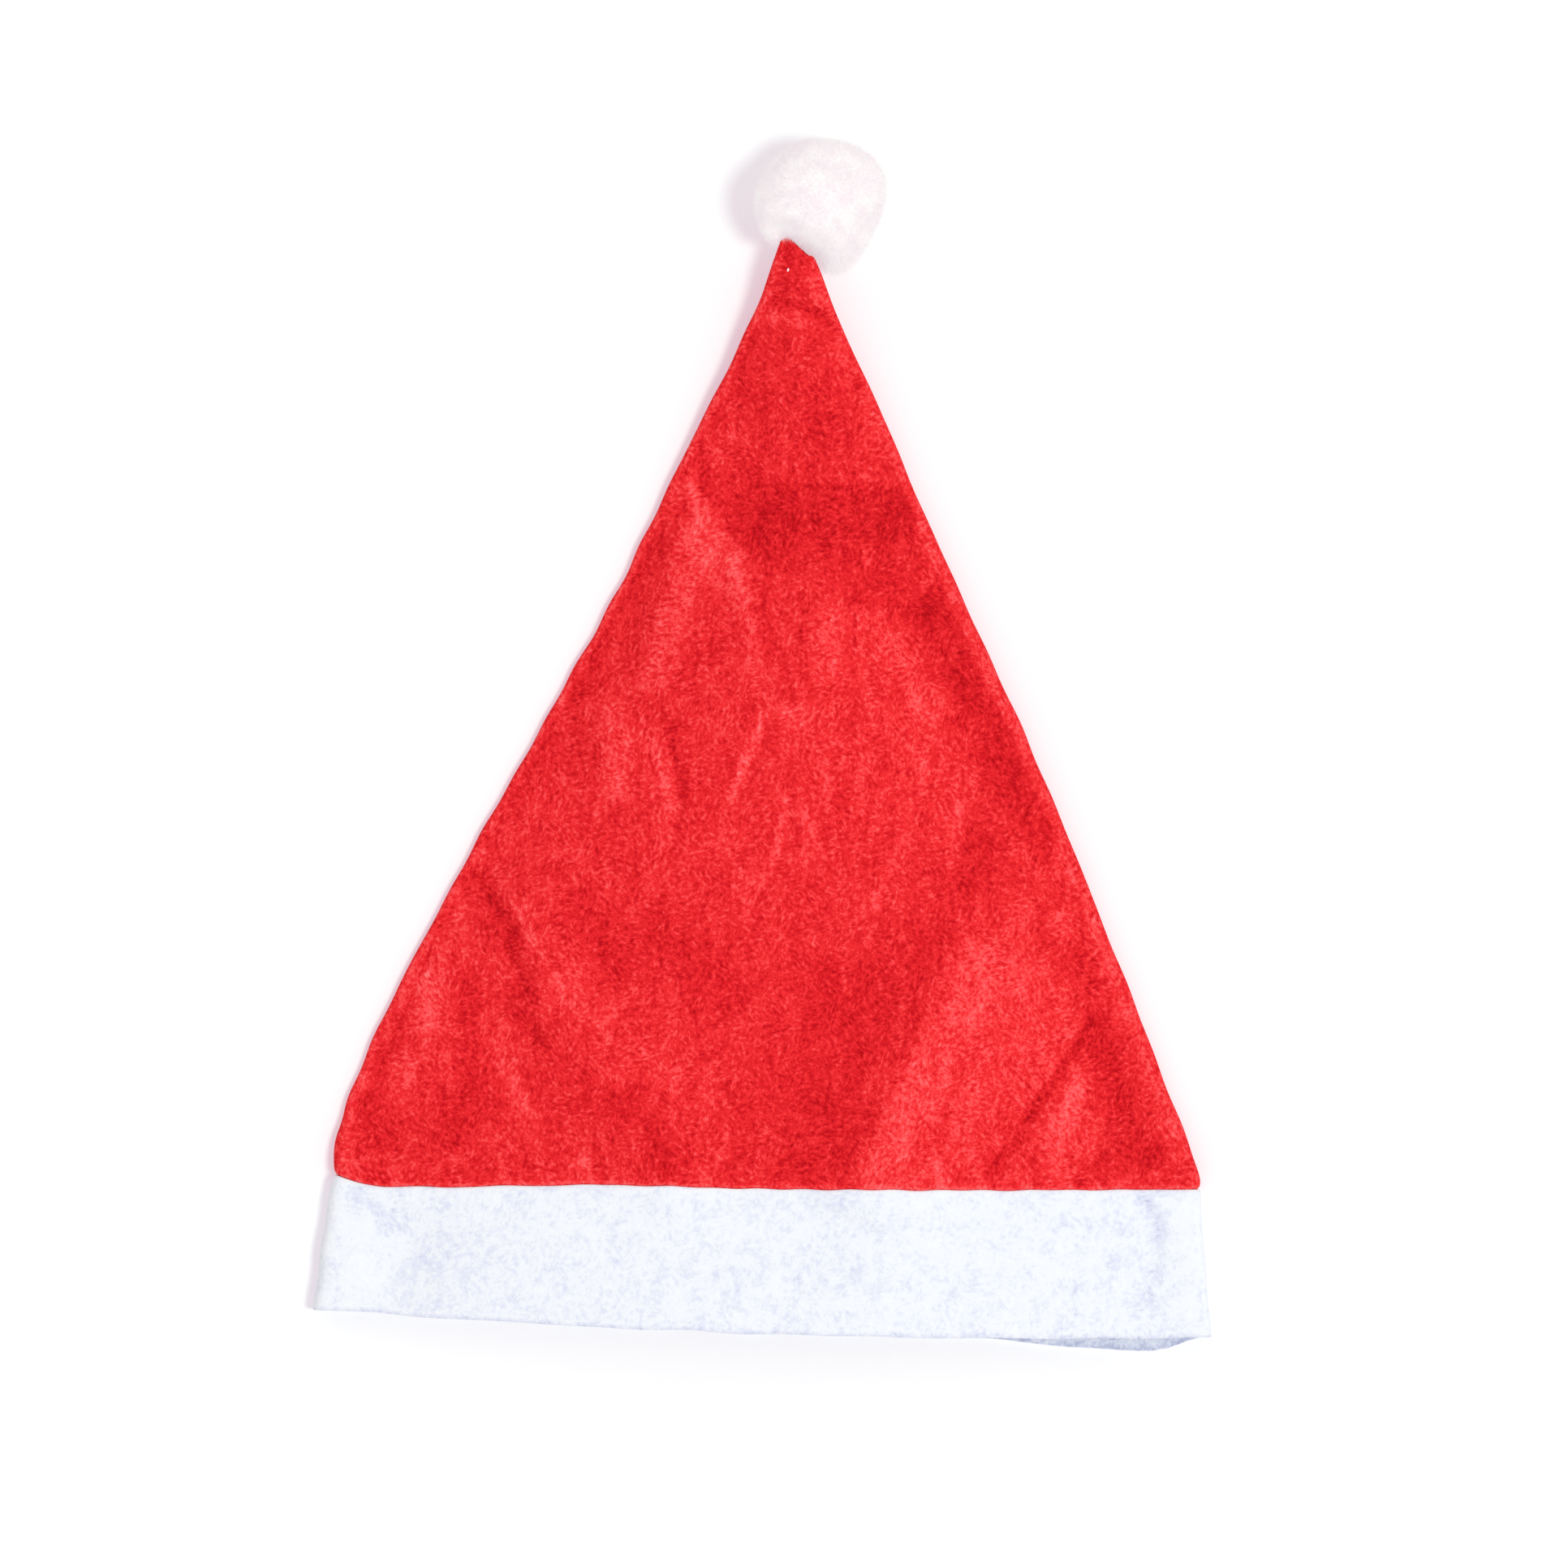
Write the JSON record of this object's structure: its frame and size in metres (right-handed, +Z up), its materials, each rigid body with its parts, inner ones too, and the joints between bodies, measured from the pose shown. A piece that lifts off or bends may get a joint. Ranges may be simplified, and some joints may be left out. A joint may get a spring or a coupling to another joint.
{
  "type": "santa hat lying flat",
  "caption": "Soft felt Santa hat lying flat: a red cone open at its head end, a white band round the opening and a white fur pompom at the tip.",
  "frame": {"origin": "on the table under the middle of the hat's outline, as it lies", "axes": "+Y from the opening to the pompom, +Z up from the table, +X to the right seen from above with the pompom away"},
  "size_m": [0.2844, 0.3842, 0.041],
  "materials": {
    "red_felt": "matt brushed felt, bright red, with short swirling fibres",
    "white_felt": "matt non-woven felt, cool white, with fine crossing fibres",
    "white_yarn": "fluffy yarn, warm white, trimmed to a ball"
  },
  "bodies": {
    "root": {"crown": "red_felt", "band": "white_felt", "pompom": "white_yarn"}
  },
  "joints": []
}
